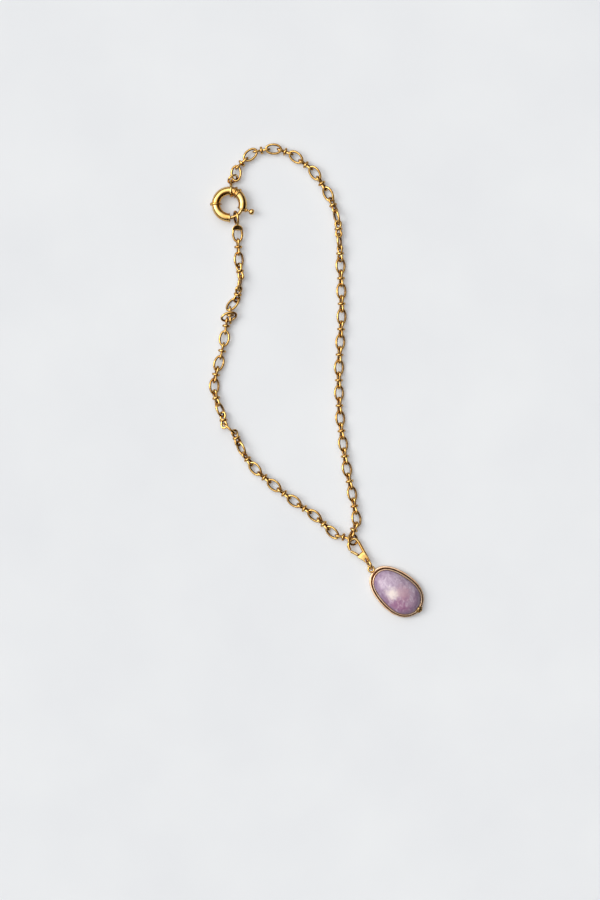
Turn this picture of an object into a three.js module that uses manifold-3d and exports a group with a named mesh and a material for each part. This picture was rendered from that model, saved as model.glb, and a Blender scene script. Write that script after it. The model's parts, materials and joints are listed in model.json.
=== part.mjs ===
// A charm necklace lying flat: a closed chain of oval links joined by pinched connectors, a bolt ring
// clasp at its left, and an egg-shaped stone in a bezel, hung from a spring clip at the lowest point.
import * as THREE from "three";
import { mergeVertices } from "three/addons/utils/BufferGeometryUtils.js";
import Module from "manifold-3d";

const wasm = await Module();
wasm.setup();

// Millimetres. The necklace lies on z = 0 with the clasp's side away from +X and the stone towards -Y.

// An oval link is a wire ellipse; a connector is a long wire loop pinched to a waist under a round collar.
const oval = { halfLength: 3.7, halfWidth: 2.25, wire: 0.6 };
const connector = { halfLength: 3.88, waist: 0.48, swell: 1.9, wire: 0.45 };
const collar = { radius: 2, halfThickness: 0.5 };
const restHeight = 2.05; // a collar's radius with a hair of room under it
const edgeRoom = 0.05; // room under the low limb of a rolled link
const bite = 0.4; // how far neighbouring wires sink into each other inside a joined stretch
const [singleSteps, joinedSteps] = [10, 8]; // steps round a link's wire, fewer in the joined stretches

// Where the oval links lie, numbered along each strand from the clasp. A row gives a link's centre and
// its roll about its own length; the links between rows follow a smooth curve. heading replaces the
// direction taken from the two neighbours, z the resting height, back and front the ellipse angles
// at which the neighbouring connectors hook on.
const rightStrand = {
  rows: [
    { link: 1, x: -39.95, y: 103.35, z: 2.4, roll: 0, heading: 88 },
    { link: 2, x: -32.85, y: 112.7, roll: 5, heading: 40 },
    { link: 3, x: -21.25, y: 115.6, roll: 10, heading: -2 },
    { link: 4, x: -10.05, y: 111.55, roll: 18, heading: -38 },
    { link: 5, x: -0.6, y: 103.55, roll: 22, heading: -54 },
    { link: 6, x: 6.1, y: 93.1, roll: 30, heading: -62 },
    { link: 7, x: 10.3, y: 81.6, roll: 65.3 },
    { link: 8, x: 11.64, y: 69.45, roll: 110 },
    { link: 9, x: 12.25, y: 57.25, roll: 152 },
    { link: 11, x: 12.8, y: 31.8, roll: 149 },
    { link: 13, x: 11.5, y: 6.3, roll: 151 },
    { link: 15, x: 12.1, y: -19.15, roll: 149 },
    { link: 17, x: 15.45, y: -44.4, roll: 151 },
    { link: 18, x: 18.05, y: -56.85, roll: 150 },
    { link: 19, x: 20.2, y: -69.3, z: 2.07, roll: 150, heading: -81.5, front: 26 },
  ],
  links: 19,
  singles: 16, // links and connectors that stay pieces of their own before the joined stretches
  rolls: [
    { link: 7, roll: 174.8 },
    { link: 19, roll: 59.5 },
  ],
};
const leftStrand = {
  rows: [
    { link: 1, x: -39.2, y: 72.9, roll: 0, heading: -88 },
    { link: 2, x: -38.65, y: 60.25, roll: -32 },
    { link: 3, x: -38.2, y: 48.5, roll: -81, heading: -99 },
    { link: 4, x: -41.75, y: 38, z: 1.75, roll: -148.5, heading: -133.4, front: -36 },
    { link: 5, x: -43.55, y: 31.65, z: 3.3, roll: 35.4, heading: 16, back: -87.3, front: -115.2 },
    { link: 6, x: -45.85, y: 20.85, roll: 0, heading: -98 },
    { link: 7, x: -48.6, y: 8.4, roll: -15, heading: -108 },
    { link: 8, x: -50.9, y: -3.0, roll: -24, heading: -91 },
    { link: 9, x: -48, y: -14.75, roll: -52, heading: -68 },
    { link: 10, x: -43.28, y: -24.4, roll: -91, heading: -42 },
    { link: 11, x: -37.45, y: -34.2, roll: -130, heading: -64.8 },
    { link: 12, x: -30.45, y: -44.35, roll: -158 },
    { link: 14, x: -10.95, y: -60.6, roll: -160 },
    { link: 15, x: -0.75, y: -67.9, roll: -155 },
    { link: 16, x: 8.2, y: -76.2, z: 2.08, roll: -150, heading: -44.7, front: -25 },
  ],
  links: 16,
  singles: 22,
  rolls: [
    { link: 3, roll: -23.6 },
    { link: 4, roll: 87.8 },
    { link: 5, roll: 93.4 },
    { link: 6, roll: 90 },
    { link: 16, roll: 93.6 },
  ],
};

// The bolt ring clasp lies in its own plane, angles counted from +X.
const clasp = {
  x: -43.3,
  y: 87.85,
  z: 3.38,
  radius: 6.7,
  tube: 2.15,
  from: -27,
  to: 274,
  bore: { radius: 1.3, to: 54 },
  socket: { radius: 1.15, depth: 8 },
  slot: { from: -24, to: 31, width: 1.5 },
  ribs: [
    { at: -25.5, radius: 2.5, width: 0.9 },
    { at: 52.5, radius: 2.75, width: 0.9 },
    { at: 67.5, radius: 2.6, width: 0.9 },
    { at: 180, radius: 3.05, width: 1 },
    { at: 272, radius: 2.5, width: 0.9 },
  ],
};
const bolt = { radius: 0.9, from: -90, to: 5, stem: 0.5, stemAt: -19, stemTo: 10.8, knobAt: 11.75, knob: 1.45 };
const bail = { x: -42.55, wire: 0.45, aroundTube: 2.88, end: { y: 98.8, z: 1.82, radius: 1.29 } };
const jumpRing = { x: -41.7, y: 100.2, z: 3.1, radius: 2.36, wire: 0.45, heading: 38.5, roll: 57.5 };

// The end link is one soldered piece: an eye for the bolt, a half-moon tag and the first oval link.
const eye = { x: -39.9, y: 81, z: 3.2, halfLength: 3.2, halfWidth: 2.25, heading: 99.7, roll: -68 };
const tag = { y: 74.75, halfWidth: 2.75, height: 2.95, bottom: 2.25, thickness: 1.5 };
const endOval = { z: 2.5, pitch: 8 };

// The ring that gathers both strands and the spring clip.
const centreRing = { x: 18.35, y: -79.75, z: 2.25, radius: 2.675, wire: 0.575, heading: 105.7, roll: 37 };
const centreHooks = { right: -9.7, left: 61.4 };

// The spring clip in its own plane: u runs from the base to the top, v to the gate's side.
const clip = {
  x: 25.75,
  y: -90.25,
  z: 2.15,
  heading: 129,
  wire: 0.62,
  spine: [
    { u: 2.6, v: -0.95 },
    { u: 4.95, v: -1.43 },
    { u: 8.57, v: -2.12 },
    { u: 10.63, v: -2.36 },
    { u: 12.35, v: -1.83 },
    { u: 13.0, v: -0.23 },
    { u: 12.62, v: 1.68 },
    { u: 11.58, v: 2.78 },
    { u: 9.4, v: 3.51 },
  ],
  base: [
    { u: -0.9, v: 1.1 },
    { u: 0.3, v: 1.65 },
    { u: 1.75, v: 2.1 },
    { u: 4.2, v: 2.75 },
    { u: 5.0, v: 0.85 },
    { u: 4.9, v: -2.0 },
    { u: 3.3, v: -1.85 },
    { u: 0.3, v: -1.35 },
    { u: -0.9, v: -1.0 },
    { u: -1.45, v: 0.05 },
  ],
  thickness: 1.6,
  hole: { u: 0.06, v: 0.14, radius: 0.95 },
  gate: { radius: 0.7, from: { u: 5.4, v: 2.14 }, to: { u: 8.3, v: 3.36 } },
};
const clipLink = { x: 26.6, y: -92.15, z: 2.66, radius: 2.36, wire: 0.45, heading: -67.5, roll: 74.4 };

// The stone and its bezel share one egg-shaped outline: a is along it, b across.
const egg = { x: 40.15, y: -105.6, heading: -40.45, halfLength: 15.3, halfWidth: 10.15 };
const bezel = { rim: 2.6, groove: 1.7, lip: 4, seat: 1.2, ledge: 2.3, shoulder: 1.5 };
const stone = { inset: 2.5, bottom: 1.4, girdle: 3.4, top: 9 };
const pendantLoop = { x: 27.6, y: -94.6, z: 2.88, radius: 1.45, wire: 0.5 };
const lug = { at: 0.4, halfWidth: 2.1, reach: 0.6 };

const gold = { color: 0xd9a648, metalness: 1, roughness: 0.18 };
const amethyst = { color: 0xb89ac0, metalness: 0, roughness: 0.12 };

const up = new THREE.Vector3(0, 0, 1);
const radians = THREE.MathUtils.degToRad;

function flat(heading) {
  return new THREE.Vector3(Math.cos(radians(heading)), Math.sin(radians(heading)), 0);
}

// A frame at a point: x runs along a direction, y across it, lifted by the roll on the left side.
function frameAt(at, along, roll) {
  const x = along.clone().normalize();
  const left = new THREE.Vector3().crossVectors(up, x).normalize();
  const over = new THREE.Vector3().crossVectors(x, left);
  const y = left.multiplyScalar(Math.cos(radians(roll))).addScaledVector(over, Math.sin(radians(roll)));
  const z = new THREE.Vector3().crossVectors(x, y);
  return new THREE.Matrix4().makeBasis(x, y, z).setPosition(at);
}

function point(of) {
  return new THREE.Vector3(of.x, of.y, of.z);
}

// A closed geometry as a solid whose faces point outwards.
function solidOf(geometry, frame = new THREE.Matrix4()) {
  const bare = new THREE.BufferGeometry();
  bare.setAttribute("position", geometry.getAttribute("position").clone());
  if (geometry.index) bare.setIndex(geometry.index.clone());
  const merged = mergeVertices(bare.applyMatrix4(frame), 1e-4);
  const triVerts = new Uint32Array(merged.index.array);
  const vertProperties = merged.getAttribute("position").array;
  const made = new wasm.Manifold(new wasm.Mesh({ numProp: 3, vertProperties, triVerts }));
  if (made.volume() > 0) return made;
  return new wasm.Manifold(new wasm.Mesh({ numProp: 3, vertProperties, triVerts: triVerts.reverse() }));
}

function joined(solids) {
  return solids.reduce((all, one) => all.add(one));
}

function pieceOf(name, made, finish) {
  const { numProp, vertProperties, triVerts } = made.getMesh();
  const corners = new THREE.InterleavedBuffer(vertProperties, numProp);
  const geometry = new THREE.BufferGeometry();
  geometry.setAttribute("position", new THREE.InterleavedBufferAttribute(corners, 3, 0));
  geometry.setIndex(new THREE.BufferAttribute(triVerts, 1));
  const piece = new THREE.Mesh(geometry.toNonIndexed(), new THREE.MeshStandardMaterial(finish));
  piece.geometry.computeVertexNormals();
  piece.name = name;
  return piece;
}

// A wire bent into the closed plane curve that at(angle) gives.
class Loop extends THREE.Curve {
  constructor(at) {
    super();
    this.at = at;
  }
  getPoint(share, target = new THREE.Vector3()) {
    const { x, y } = this.at(share * 2 * Math.PI);
    return target.set(x, y, 0);
  }
}

function wireLoop(at, wire, steps, sides) {
  return new THREE.TubeGeometry(new Loop(at), steps, wire, sides, true);
}

// A round bar along an open curve, with flat ends.
function bar(path, radius, steps, sides) {
  const corner = (_, i) =>
    new THREE.Vector2(
      radius * Math.cos(((i + 0.5) * 2 * Math.PI) / sides),
      radius * Math.sin(((i + 0.5) * 2 * Math.PI) / sides),
    );
  const section = new THREE.Shape(Array.from({ length: sides }, corner));
  return new THREE.ExtrudeGeometry(section, { steps, extrudePath: path, bevelEnabled: false });
}

class Arc extends THREE.Curve {
  constructor(radius, from, to) {
    super();
    Object.assign(this, { radius, from, to });
  }
  getPoint(share, target = new THREE.Vector3()) {
    return target.copy(flat(this.from + (this.to - this.from) * share)).multiplyScalar(this.radius);
  }
}

// A short drum on the x axis of a frame.
function drum(radius, halfThickness, sides) {
  const profile = [
    new THREE.Vector2(0, -halfThickness),
    new THREE.Vector2(radius, -halfThickness),
    new THREE.Vector2(radius, halfThickness),
    new THREE.Vector2(0, halfThickness),
  ];
  return new THREE.LatheGeometry(profile, sides).rotateZ(-Math.PI / 2);
}

function prism(outline, bottom, height) {
  const shape = new THREE.Shape(outline.map(({ u, v }) => new THREE.Vector2(u, v)));
  const made = new THREE.ExtrudeGeometry(shape, { depth: height, bevelEnabled: false, curveSegments: 8 });
  return made.translate(0, 0, bottom);
}

function ellipsePoint({ halfLength, halfWidth }, angle) {
  return { x: halfLength * Math.cos(angle), y: halfWidth * Math.sin(angle) };
}

// A value of a table at a link number: a cubic between rows whose slopes come from the rows around.
function smooth(rows, key, link) {
  const slope = (i) => {
    const [before, after] = [rows[Math.max(i - 1, 0)], rows[Math.min(i + 1, rows.length - 1)]];
    return (after[key] - before[key]) / (after.link - before.link);
  };
  const i = Math.min(
    rows.findLastIndex((row) => row.link <= link),
    rows.length - 2,
  );
  const [a, b] = [rows[i], rows[i + 1]];
  const span = b.link - a.link;
  const t = (link - a.link) / span;
  return (
    a[key] * (1 + 2 * t) * (1 - t) ** 2 +
    b[key] * t * t * (3 - 2 * t) +
    span * (slope(i) * t * (1 - t) ** 2 - slope(i + 1) * t * t * (1 - t))
  );
}

// Every oval of a strand: its frame and the two points where its neighbours hook on.
function layOvals(strand, last) {
  const centre = (link) =>
    link > strand.links
      ? new THREE.Vector3(last.x, last.y, restHeight)
      : new THREE.Vector3(smooth(strand.rows, "x", link), smooth(strand.rows, "y", link), restHeight);
  return Array.from({ length: strand.links }, (_, i) => {
    const link = i + 1;
    const row = strand.rows.find((each) => each.link === link) ?? {};
    const roll = smooth(strand.rows, "roll", link);
    const at = centre(link);
    const before = link > 1 ? centre(link - 1) : at;
    const after = centre(link + 1);
    const along = row.heading === undefined ? after.clone().sub(before) : flat(row.heading);
    const low = oval.halfWidth * Math.abs(Math.sin(radians(roll))) + oval.wire + edgeRoom;
    const frame = frameAt(at.clone().setZ(row.z ?? Math.max(restHeight, low)), along, roll);
    return {
      frame,
      roll,
      back: hookPoint(frame, row.back ?? pulledAngle(frame, before)),
      front: hookPoint(frame, row.front ?? pulledAngle(frame, after)),
    };
  });
}

// The ellipse angle where a neighbour that lies towards a point pulls the wire.
function pulledAngle(frame, towards) {
  const { x, y } = towards.clone().applyMatrix4(frame.clone().invert());
  return THREE.MathUtils.radToDeg(Math.atan2(oval.halfWidth * y, oval.halfLength * x));
}

function hookPoint(frame, angle) {
  const { x, y } = ellipsePoint(oval, radians(angle));
  return new THREE.Vector3(x, y, 0).applyMatrix4(frame);
}

function ovalSolid({ frame }, steps = singleSteps) {
  return solidOf(
    wireLoop((angle) => ellipsePoint(oval, angle), oval.wire, steps, 4),
    frame,
  );
}

// A connector from one hooked wire to the next. A joined end is drawn in until the wires bite.
function connectorSolid(from, to, roll, joinedBack, joinedFront) {
  const steps = joinedBack || joinedFront ? joinedSteps : singleSteps;
  const middle = from.clone().add(to).multiplyScalar(0.5);
  const drawnIn = from.distanceTo(to) / 2 + oval.wire + connector.wire - bite / 2;
  const back = joinedBack ? Math.min(drawnIn, connector.halfLength) : connector.halfLength;
  const front = joinedFront ? Math.min(drawnIn, connector.halfLength) : connector.halfLength;
  const outline = (angle) => {
    const reach = Math.cos(angle);
    return {
      x: (reach < 0 ? back : front) * reach,
      y: Math.sin(angle) * (connector.waist + connector.swell * Math.abs(reach)),
    };
  };
  const frame = frameAt(middle, to.clone().sub(from), roll);
  return joined([
    solidOf(wireLoop(outline, connector.wire, steps, 4), frame),
    solidOf(drum(collar.radius, collar.halfThickness, 6), frame),
  ]);
}

// A strand as single links and connectors, then stretches of three joined ones, then one connector.
function strandPieces(side, strand, last) {
  const ovals = layOvals(strand, last);
  const count = 2 * strand.links;
  const stretchOf = (i) => (i < strand.singles || i === count - 1 ? -1 - i : Math.floor((i - strand.singles) / 3));
  const solids = Array.from({ length: count }, (_, i) => {
    const here = ovals[i >> 1];
    if (i % 2 === 0) return ovalSolid(here, stretchOf(i) < 0 ? singleSteps : joinedSteps);
    const link = (i + 1) / 2;
    const next = ovals[link];
    const own = strand.rolls.find((each) => each.link === link);
    return connectorSolid(
      here.front,
      next ? next.back : last.hook,
      own ? own.roll : (here.roll + next.roll) / 2 + 90,
      stretchOf(i) === stretchOf(i - 1),
      stretchOf(i) === stretchOf(i + 1),
    );
  });
  const pieces = [];
  for (let i = strand.firstPiece ?? 0; i < count; i += 1) {
    const name = `${side}_${i % 2 ? "connector" : "oval"}_${(i >> 1) + 1}`;
    const stretch = solids.filter((_, j) => stretchOf(j) === stretchOf(i));
    if (stretch.length > 1) i += stretch.length - 1;
    pieces.push(pieceOf(stretch.length > 1 ? `${name}_stretch` : name, joined(stretch), gold));
  }
  return pieces;
}

function claspBody() {
  const centre = new THREE.Matrix4().setPosition(point(clasp));
  const tube = solidOf(bar(new Arc(clasp.radius, clasp.from, clasp.to), clasp.tube, 20, 8), centre);
  const ribs = clasp.ribs.map(({ at, radius, width }) => {
    const middle = point(clasp).addScaledVector(flat(at), clasp.radius);
    return solidOf(drum(radius, width / 2, 8), frameAt(middle, flat(at + 90), 0));
  });
  const boreStart = clasp.from - 8;
  const bore = bar(new Arc(clasp.radius, boreStart, clasp.bore.to), clasp.bore.radius, 7, 8);
  const socketStart = clasp.to - clasp.socket.depth;
  const socket = bar(new Arc(clasp.radius, socketStart, clasp.to + 8), clasp.socket.radius, 2, 8);
  const { from, to, width } = clasp.slot;
  const outline = new THREE.Shape()
    .absarc(0, 0, clasp.radius + clasp.tube + 0.6, radians(from), radians(to), false)
    .absarc(0, 0, clasp.radius + clasp.bore.radius / 2, radians(to), radians(from), true);
  const slot = new THREE.ExtrudeGeometry(outline, { depth: width, bevelEnabled: false, curveSegments: 6 });
  return joined([tube, ...ribs])
    .subtract(solidOf(bore, centre))
    .subtract(solidOf(socket, centre))
    .subtract(solidOf(slot.translate(0, 0, -width / 2), centre));
}

function claspBolt() {
  const centre = new THREE.Matrix4().setPosition(point(clasp));
  const outwards = flat(bolt.stemAt);
  const stem = new THREE.LineCurve3(
    outwards.clone().multiplyScalar(clasp.radius),
    outwards.clone().multiplyScalar(bolt.stemTo),
  );
  const knobFrame = new THREE.Matrix4().setPosition(point(clasp).addScaledVector(outwards, bolt.knobAt));
  return joined([
    solidOf(bar(new Arc(clasp.radius, bolt.from, bolt.to), bolt.radius, 8, 6), centre),
    solidOf(bar(stem, bolt.stem, 1, 6), centre),
    solidOf(new THREE.SphereGeometry(bolt.knob, 10, 6), knobFrame),
  ]);
}

// A wire round the clasp's tube and, smaller, round the jump ring: two arcs joined by their tangents.
function claspBail() {
  const big = { x: clasp.y + clasp.radius, y: clasp.z, radius: bail.aroundTube };
  const small = { x: bail.end.y, y: bail.end.z, radius: bail.end.radius };
  const towards = Math.atan2(small.y - big.y, small.x - big.x);
  const apart = Math.hypot(small.x - big.x, small.y - big.y);
  const lean = Math.acos((big.radius - small.radius) / apart);
  const arc = (circle, from, to, steps) =>
    Array.from({ length: steps + 1 }, (_, i) => {
      const angle = from + ((to - from) * i) / steps;
      return new THREE.Vector3(
        0,
        circle.x + circle.radius * Math.cos(angle),
        circle.y + circle.radius * Math.sin(angle),
      );
    });
  const route = [
    ...arc(big, towards + lean, towards + 2 * Math.PI - lean, 9),
    ...arc(small, towards - lean, towards + lean, 5),
  ];
  const loop = new THREE.CatmullRomCurve3(route, true, "centripetal");
  return solidOf(
    new THREE.TubeGeometry(loop, 24, bail.wire, 5, true),
    new THREE.Matrix4().setPosition(bail.x, 0, 0),
  );
}

function roundRing({ radius, wire, heading, roll, ...at }, segments = 16) {
  return solidOf(new THREE.TorusGeometry(radius, wire, 5, segments), frameAt(point(at), flat(heading), roll));
}

function endLink() {
  const [row] = leftStrand.rows;
  const along = flat(row.heading);
  const tilted = along.clone().setZ(-Math.tan(radians(endOval.pitch)));
  const firstOval = { frame: frameAt(new THREE.Vector3(row.x, row.y, endOval.z), tilted, 0) };
  const eyeLoop = wireLoop((angle) => ellipsePoint(eye, angle), oval.wire, 16, 6);
  const half = Array.from({ length: 11 }, (_, i) => {
    const angle = (i * Math.PI) / 10;
    return { u: tag.halfWidth * Math.cos(angle), v: tag.height * Math.sin(angle) };
  });
  const tagFrame = new THREE.Matrix4().setPosition(row.x, tag.y, 0);
  return joined([
    ovalSolid(firstOval),
    solidOf(eyeLoop, frameAt(point(eye), flat(eye.heading), eye.roll)),
    solidOf(prism(half, tag.bottom, tag.thickness), tagFrame),
  ]);
}

function clipFrame() {
  return frameAt(point(clip), flat(clip.heading), 0);
}

function clipBody() {
  const route = clip.spine.map(({ u, v }) => new THREE.Vector3(u, v, 0));
  const wire = bar(new THREE.CatmullRomCurve3(route), clip.wire, 16, 6);
  const base = prism(clip.base, -clip.thickness / 2, clip.thickness);
  const { u, v, radius } = clip.hole;
  const hole = new THREE.CylinderGeometry(radius, radius, 3 * clip.thickness, 12).rotateX(Math.PI / 2);
  return joined([solidOf(wire, clipFrame()), solidOf(base, clipFrame())]).subtract(
    solidOf(hole.translate(u, v, 0), clipFrame()),
  );
}

function clipGate() {
  const { from, to, radius } = clip.gate;
  const length = Math.hypot(to.u - from.u, to.v - from.v);
  const lean = Math.atan2(to.v - from.v, to.u - from.u);
  const capsule = new THREE.CapsuleGeometry(radius, length, 3, 8);
  capsule.rotateZ(lean - Math.PI / 2).translate((from.u + to.u) / 2, (from.v + to.v) / 2, 0);
  return solidOf(capsule, clipFrame());
}

// The egg: an ellipse whose half-width grows towards its far end.
function eggPoint(angle) {
  const c = Math.cos(angle);
  const width = egg.halfWidth + 1.1 * c + c ** 2 - 0.9 * c ** 5;
  return new THREE.Vector3(egg.halfLength * c, width * Math.sin(angle), 0);
}

// A solid turned round the egg: a profile point sits at a share of the outline, less an inset.
function eggTurned(profile, segments) {
  const turned = new THREE.LatheGeometry(
    profile.map(({ share, z }) => new THREE.Vector2(share, z)),
    segments,
  );
  const corners = turned.getAttribute("position");
  for (let k = 0; k < corners.count; k += 1) {
    const { share, inset, z } = profile[k % profile.length];
    const rim = eggPoint((2 * Math.PI * Math.floor(k / profile.length)) / segments);
    const at = rim.clone().multiplyScalar(share);
    if (share > 0) at.addScaledVector(rim.normalize(), -inset);
    corners.setXYZ(k, at.x, at.y, z);
  }
  return turned;
}

function eggFrame() {
  return frameAt(new THREE.Vector3(egg.x, egg.y, 0), flat(egg.heading), 0);
}

function pendantBezel() {
  const profile = [
    { share: 0, inset: 0, z: 0 },
    { share: 1, inset: 0.3, z: 0 },
    { share: 1, inset: 0, z: bezel.rim / 2 },
    { share: 1, inset: 0.3, z: bezel.rim },
    { share: 1, inset: bezel.shoulder, z: bezel.rim },
    { share: 1, inset: bezel.groove, z: bezel.lip },
    { share: 1, inset: bezel.ledge, z: bezel.lip },
    { share: 1, inset: bezel.ledge, z: bezel.seat },
    { share: 0, inset: 0, z: bezel.seat },
  ];
  const tip = egg.halfLength - 1;
  const bump = [
    { u: tip, v: lug.at - lug.halfWidth },
    { u: tip + 1 + lug.reach, v: lug.at - lug.halfWidth / 2 },
    { u: tip + 1 + lug.reach, v: lug.at + lug.halfWidth / 2 },
    { u: tip, v: lug.at + lug.halfWidth },
  ];
  const loop = new THREE.TorusGeometry(pendantLoop.radius, pendantLoop.wire, 6, 14);
  return joined([
    solidOf(eggTurned(profile, 26), eggFrame()),
    solidOf(prism(bump, 0.3, bezel.rim - 0.6), eggFrame()),
    solidOf(loop, new THREE.Matrix4().setPosition(point(pendantLoop))),
  ]);
}

function pendantStone() {
  const dome = Array.from({ length: 6 }, (_, i) => {
    const angle = (i * Math.PI) / 10;
    return {
      share: Math.cos(angle),
      inset: stone.inset * Math.cos(angle),
      z: stone.girdle + (stone.top - stone.girdle) * Math.sin(angle),
    };
  });
  dome[5] = { share: 0, inset: 0, z: stone.top };
  const foot = [
    { share: 0, inset: 0, z: stone.bottom },
    { share: 1, inset: stone.inset, z: stone.bottom },
  ];
  return solidOf(eggTurned([...foot, ...dome], 24), eggFrame());
}

const ring = frameAt(point(centreRing), flat(centreRing.heading), centreRing.roll);
function ringHook(angle) {
  const { x, y } = ellipsePoint({ halfLength: centreRing.radius, halfWidth: centreRing.radius }, radians(angle));
  return new THREE.Vector3(x, y, 0).applyMatrix4(ring);
}

const necklace = new THREE.Group();
necklace.add(
  pieceOf("clasp_body", claspBody(), gold),
  pieceOf("clasp_bolt", claspBolt(), gold),
  pieceOf("clasp_bail", claspBail(), gold),
  pieceOf("clasp_jump_ring", roundRing(jumpRing), gold),
  pieceOf("end_link", endLink(), gold),
  ...strandPieces("right", rightStrand, { ...centreRing, hook: ringHook(centreHooks.right) }),
  ...strandPieces("left", { ...leftStrand, firstPiece: 1 }, { ...centreRing, hook: ringHook(centreHooks.left) }),
  pieceOf("centre_ring", roundRing(centreRing), gold),
  pieceOf("clip_body", clipBody(), gold),
  pieceOf("clip_gate", clipGate(), gold),
  pieceOf("clip_link", roundRing(clipLink, 14), gold),
  pieceOf("pendant_bezel", pendantBezel(), gold),
  pieceOf("pendant_stone", pendantStone(), amethyst),
);

// The origin is under the middle of the necklace, on the surface it lies on.
const bounds = new THREE.Box3().setFromObject(necklace);
const middle = bounds.getCenter(new THREE.Vector3());
necklace.children.forEach((piece) => piece.position.set(-middle.x, -middle.y, -bounds.min.z));

export default necklace;
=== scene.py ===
import json

import bmesh
import bpy
import numpy as np
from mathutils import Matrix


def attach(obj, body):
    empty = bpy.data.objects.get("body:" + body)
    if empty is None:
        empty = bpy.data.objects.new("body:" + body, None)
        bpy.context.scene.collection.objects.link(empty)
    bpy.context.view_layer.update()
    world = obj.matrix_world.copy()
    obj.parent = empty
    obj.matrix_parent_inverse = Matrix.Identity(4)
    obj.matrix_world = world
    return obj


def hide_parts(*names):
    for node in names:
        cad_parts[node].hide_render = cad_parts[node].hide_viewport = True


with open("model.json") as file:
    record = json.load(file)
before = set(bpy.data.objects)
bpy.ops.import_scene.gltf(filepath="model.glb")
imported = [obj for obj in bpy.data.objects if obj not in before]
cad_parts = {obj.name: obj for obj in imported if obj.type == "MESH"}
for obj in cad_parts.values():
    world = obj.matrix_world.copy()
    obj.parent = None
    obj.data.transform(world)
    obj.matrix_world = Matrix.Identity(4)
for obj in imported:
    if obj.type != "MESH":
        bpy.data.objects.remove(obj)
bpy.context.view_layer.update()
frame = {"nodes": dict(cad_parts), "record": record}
print("model loaded:", len(frame["nodes"]), "nodes")

# Everything below is in millimetres on the layout's own axes: +X away from the clasp's side, +Y towards
# the top of the neck loop, +Z up. The pendant's back, whose place the record gives, ties them to the model.
pendant = {
    "x": 40.15, "y": -105.6, "heading": -40.45, "halfLength": 15.3, "halfWidth": 10.15, "steps": 144,
    "lopsided": 1.1, "full": 1.0, "drawnIn": 0.9,  # what the half-width gains and loses along the egg
}
home = np.array(frame["record"]["mounts"][0]["pos_m"]) * 1000 - [pendant["x"], pendant["y"], 0]
millimetre = 0.001
tau = 2 * np.pi
crease = 35  # degrees: an edge sharper than this stays sharp
weld = {"merge": 0.002, "collapse": 0.0005}  # points this near become one, and edges this short go
ringGrid = {"steps": 72, "sides": 20}  # how fine a ring of wire is, unless its own dictionary says


# A vector over its own length.
def unit(vector):
    return np.asarray(vector, float) / np.linalg.norm(vector)


# A level direction at an angle from +X.
def flat(heading):
    return np.array([np.cos(np.radians(heading)), np.sin(np.radians(heading)), 0.0])


# A piece's place, from its dictionary.
def spot(piece):
    return np.array([piece["x"], piece["y"], piece["z"]])


# A place and its axes: x runs along, y is the level left of x turned up by the roll, z is x cross y.
def frameAt(at, along, roll):
    x = unit(along)
    left = unit(np.cross([0, 0, 1], x))
    y = left * np.cos(np.radians(roll)) + np.cross(x, left) * np.sin(np.radians(roll))
    return {"at": np.asarray(at, float), "axes": np.array([x, y, np.cross(x, y)])}


# Points of a frame's own axes on the layout's axes.
def placed(points, here):
    return here["at"] + np.asarray(points, float) @ here["axes"]


# The angles of a circle's even steps.
def circle(sides):
    return np.arange(sides) * tau / sides


# A level ellipse: half its length times the cosine and half its width times the sine of the angle.
def ellipse(halfLength, halfWidth, steps):
    turn = circle(steps)
    return np.stack([halfLength * np.cos(turn), halfWidth * np.sin(turn), 0 * turn], -1)


# A round section: radius times the cosine and sine of the angle; a second radius makes it an ellipse.
def roundSection(sides, radius, tall=None):
    turn = circle(sides)
    return np.stack([radius * np.cos(turn), (tall or radius) * np.sin(turn)], -1)


# A grid of points as part of a piece: closed or capped at both ends, the finish of each band between its
# rows, and how far each column lies on the inner side of a loop, 0 to 1.
def skin(points, closed=False, bands=0, inner=0.0):
    return {"points": points, "closed": closed, "bands": bands, "inner": inner}


# A loop of wire as a skin; its first section axis points out, so the inner side is where the cosine is -1.
def wireSkin(points):
    return skin(points, True, 0, np.clip(-np.cos(circle(points.shape[1])), 0, 1))


# A section carried along a path: at each point it stands across the tangent, its first axis being
# tangent cross up and its second that axis cross the tangent.
def carried(path, up, section, closed=True):
    ahead = np.roll(path, -1, 0) - np.roll(path, 1, 0) if closed else np.gradient(path, axis=0)
    tangent = ahead / np.linalg.norm(ahead, axis=1, keepdims=True)
    across = np.cross(tangent, up)
    across /= np.linalg.norm(across, axis=1, keepdims=True)
    over = np.cross(across, tangent)
    section = np.broadcast_to(section, (len(path),) + section.shape[-2:])
    return path[:, None] + section[..., :1] * across[:, None] + section[..., 1:] * over[:, None]


# A turned shape: circles of the given radii at distances along the frame's x axis.
def turned(along, radius, here, sides=32):
    turn = circle(sides)
    ring = np.stack([np.zeros(sides), np.cos(turn), np.sin(turn)], -1)
    points = np.asarray(radius)[:, None, None] * ring
    points[..., 0] += np.asarray(along)[:, None]
    return skin(placed(points, here))


# A ring of round wire: radius plus wire times the cosine of the section angle, turned about the axis.
def torus(ring, here):
    path = ellipse(ring["radius"], ring["radius"], ring.get("steps", ringGrid["steps"]))
    section = roundSection(ring.get("sides", ringGrid["sides"]), ring["wire"])
    return wireSkin(placed(carried(path, [0, 0, 1], section), here))


# A closed smooth curve through points, by the cosine and sine terms that the points hold.
def closedCurve(points, steps):
    terms = np.fft.rfft(np.asarray(points, float), axis=0)
    padded = np.zeros((steps // 2 + 1, terms.shape[1]), complex)
    padded[: len(terms)] = terms
    return np.fft.irfft(padded, steps, axis=0) * steps / len(points)


# The cubic from start to end that has the given slopes there; t runs from 0 to 1.
def cubic(start, end, startSlope, endSlope, t):
    return (
        start * (1 + 2 * t) * (1 - t) ** 2
        + end * t**2 * (3 - 2 * t)
        + startSlope * t * (1 - t) ** 2
        - endSlope * t**2 * (1 - t)
    )


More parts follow.
